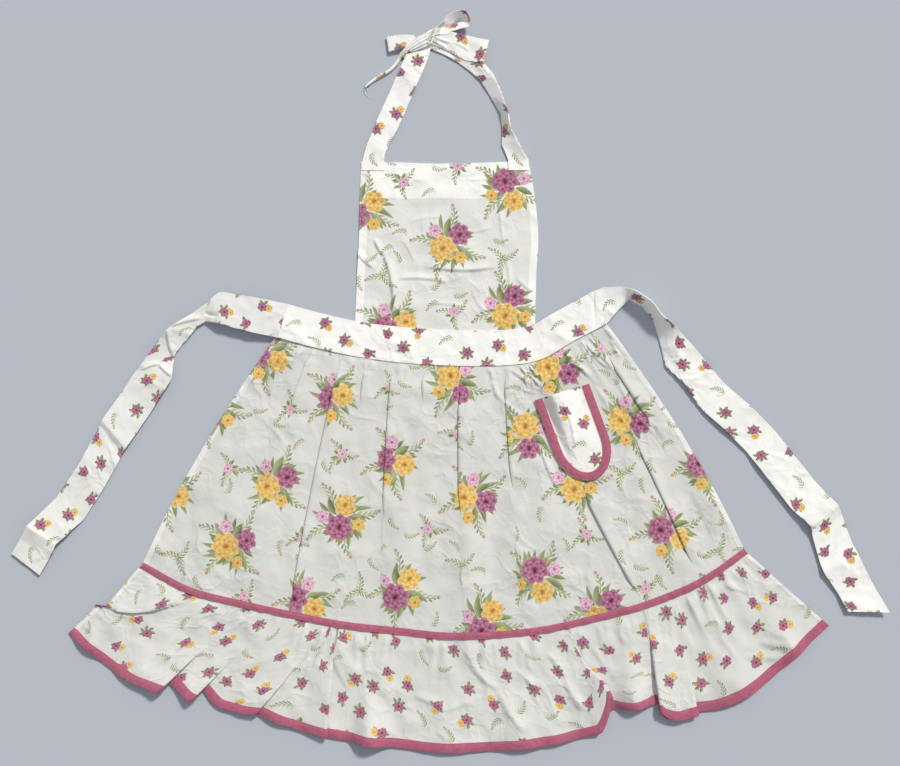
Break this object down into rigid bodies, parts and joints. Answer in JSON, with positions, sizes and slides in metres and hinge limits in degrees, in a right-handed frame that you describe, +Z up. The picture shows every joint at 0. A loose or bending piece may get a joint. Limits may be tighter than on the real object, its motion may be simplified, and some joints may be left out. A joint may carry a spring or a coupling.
{
  "type": "kitchen apron",
  "caption": "Frilled kitchen apron lying spread out face up: bib, gathered skirt, bound ruffle, patch pocket, waist ties and neck straps tied in a bow.",
  "frame": {"origin": "middle of the apron's outline, on the surface that it lies on", "axes": "+X to the right of the apron as seen from above, +Y from the hem towards the neck straps, +Z up from the surface"},
  "size_m": [1.1962, 1.038, 0.0301],
  "materials": {
    "printed_cotton": "plain weave cotton with a large floral print",
    "small_print_cotton": "plain weave cotton with a small floral print",
    "rose_tape": "plain dusty rose cotton tape"
  },
  "bodies": {
    "root": {"bib": "printed_cotton", "skirt": "printed_cotton", "waistband": "small_print_cotton", "waist_tie_left": "small_print_cotton", "waist_tie_right": "small_print_cotton", "neck_strap_left": "small_print_cotton", "neck_strap_right": "small_print_cotton", "bow_knot": "small_print_cotton", "bow_loop_left": "small_print_cotton", "bow_loop_right": "small_print_cotton", "bow_tail_left": "small_print_cotton", "bow_tail_right": "small_print_cotton", "pocket": "small_print_cotton", "pocket_binding": "rose_tape", "seam_trim": "rose_tape", "ruffle": "small_print_cotton", "ruffle_binding": "rose_tape"}
  },
  "joints": []
}
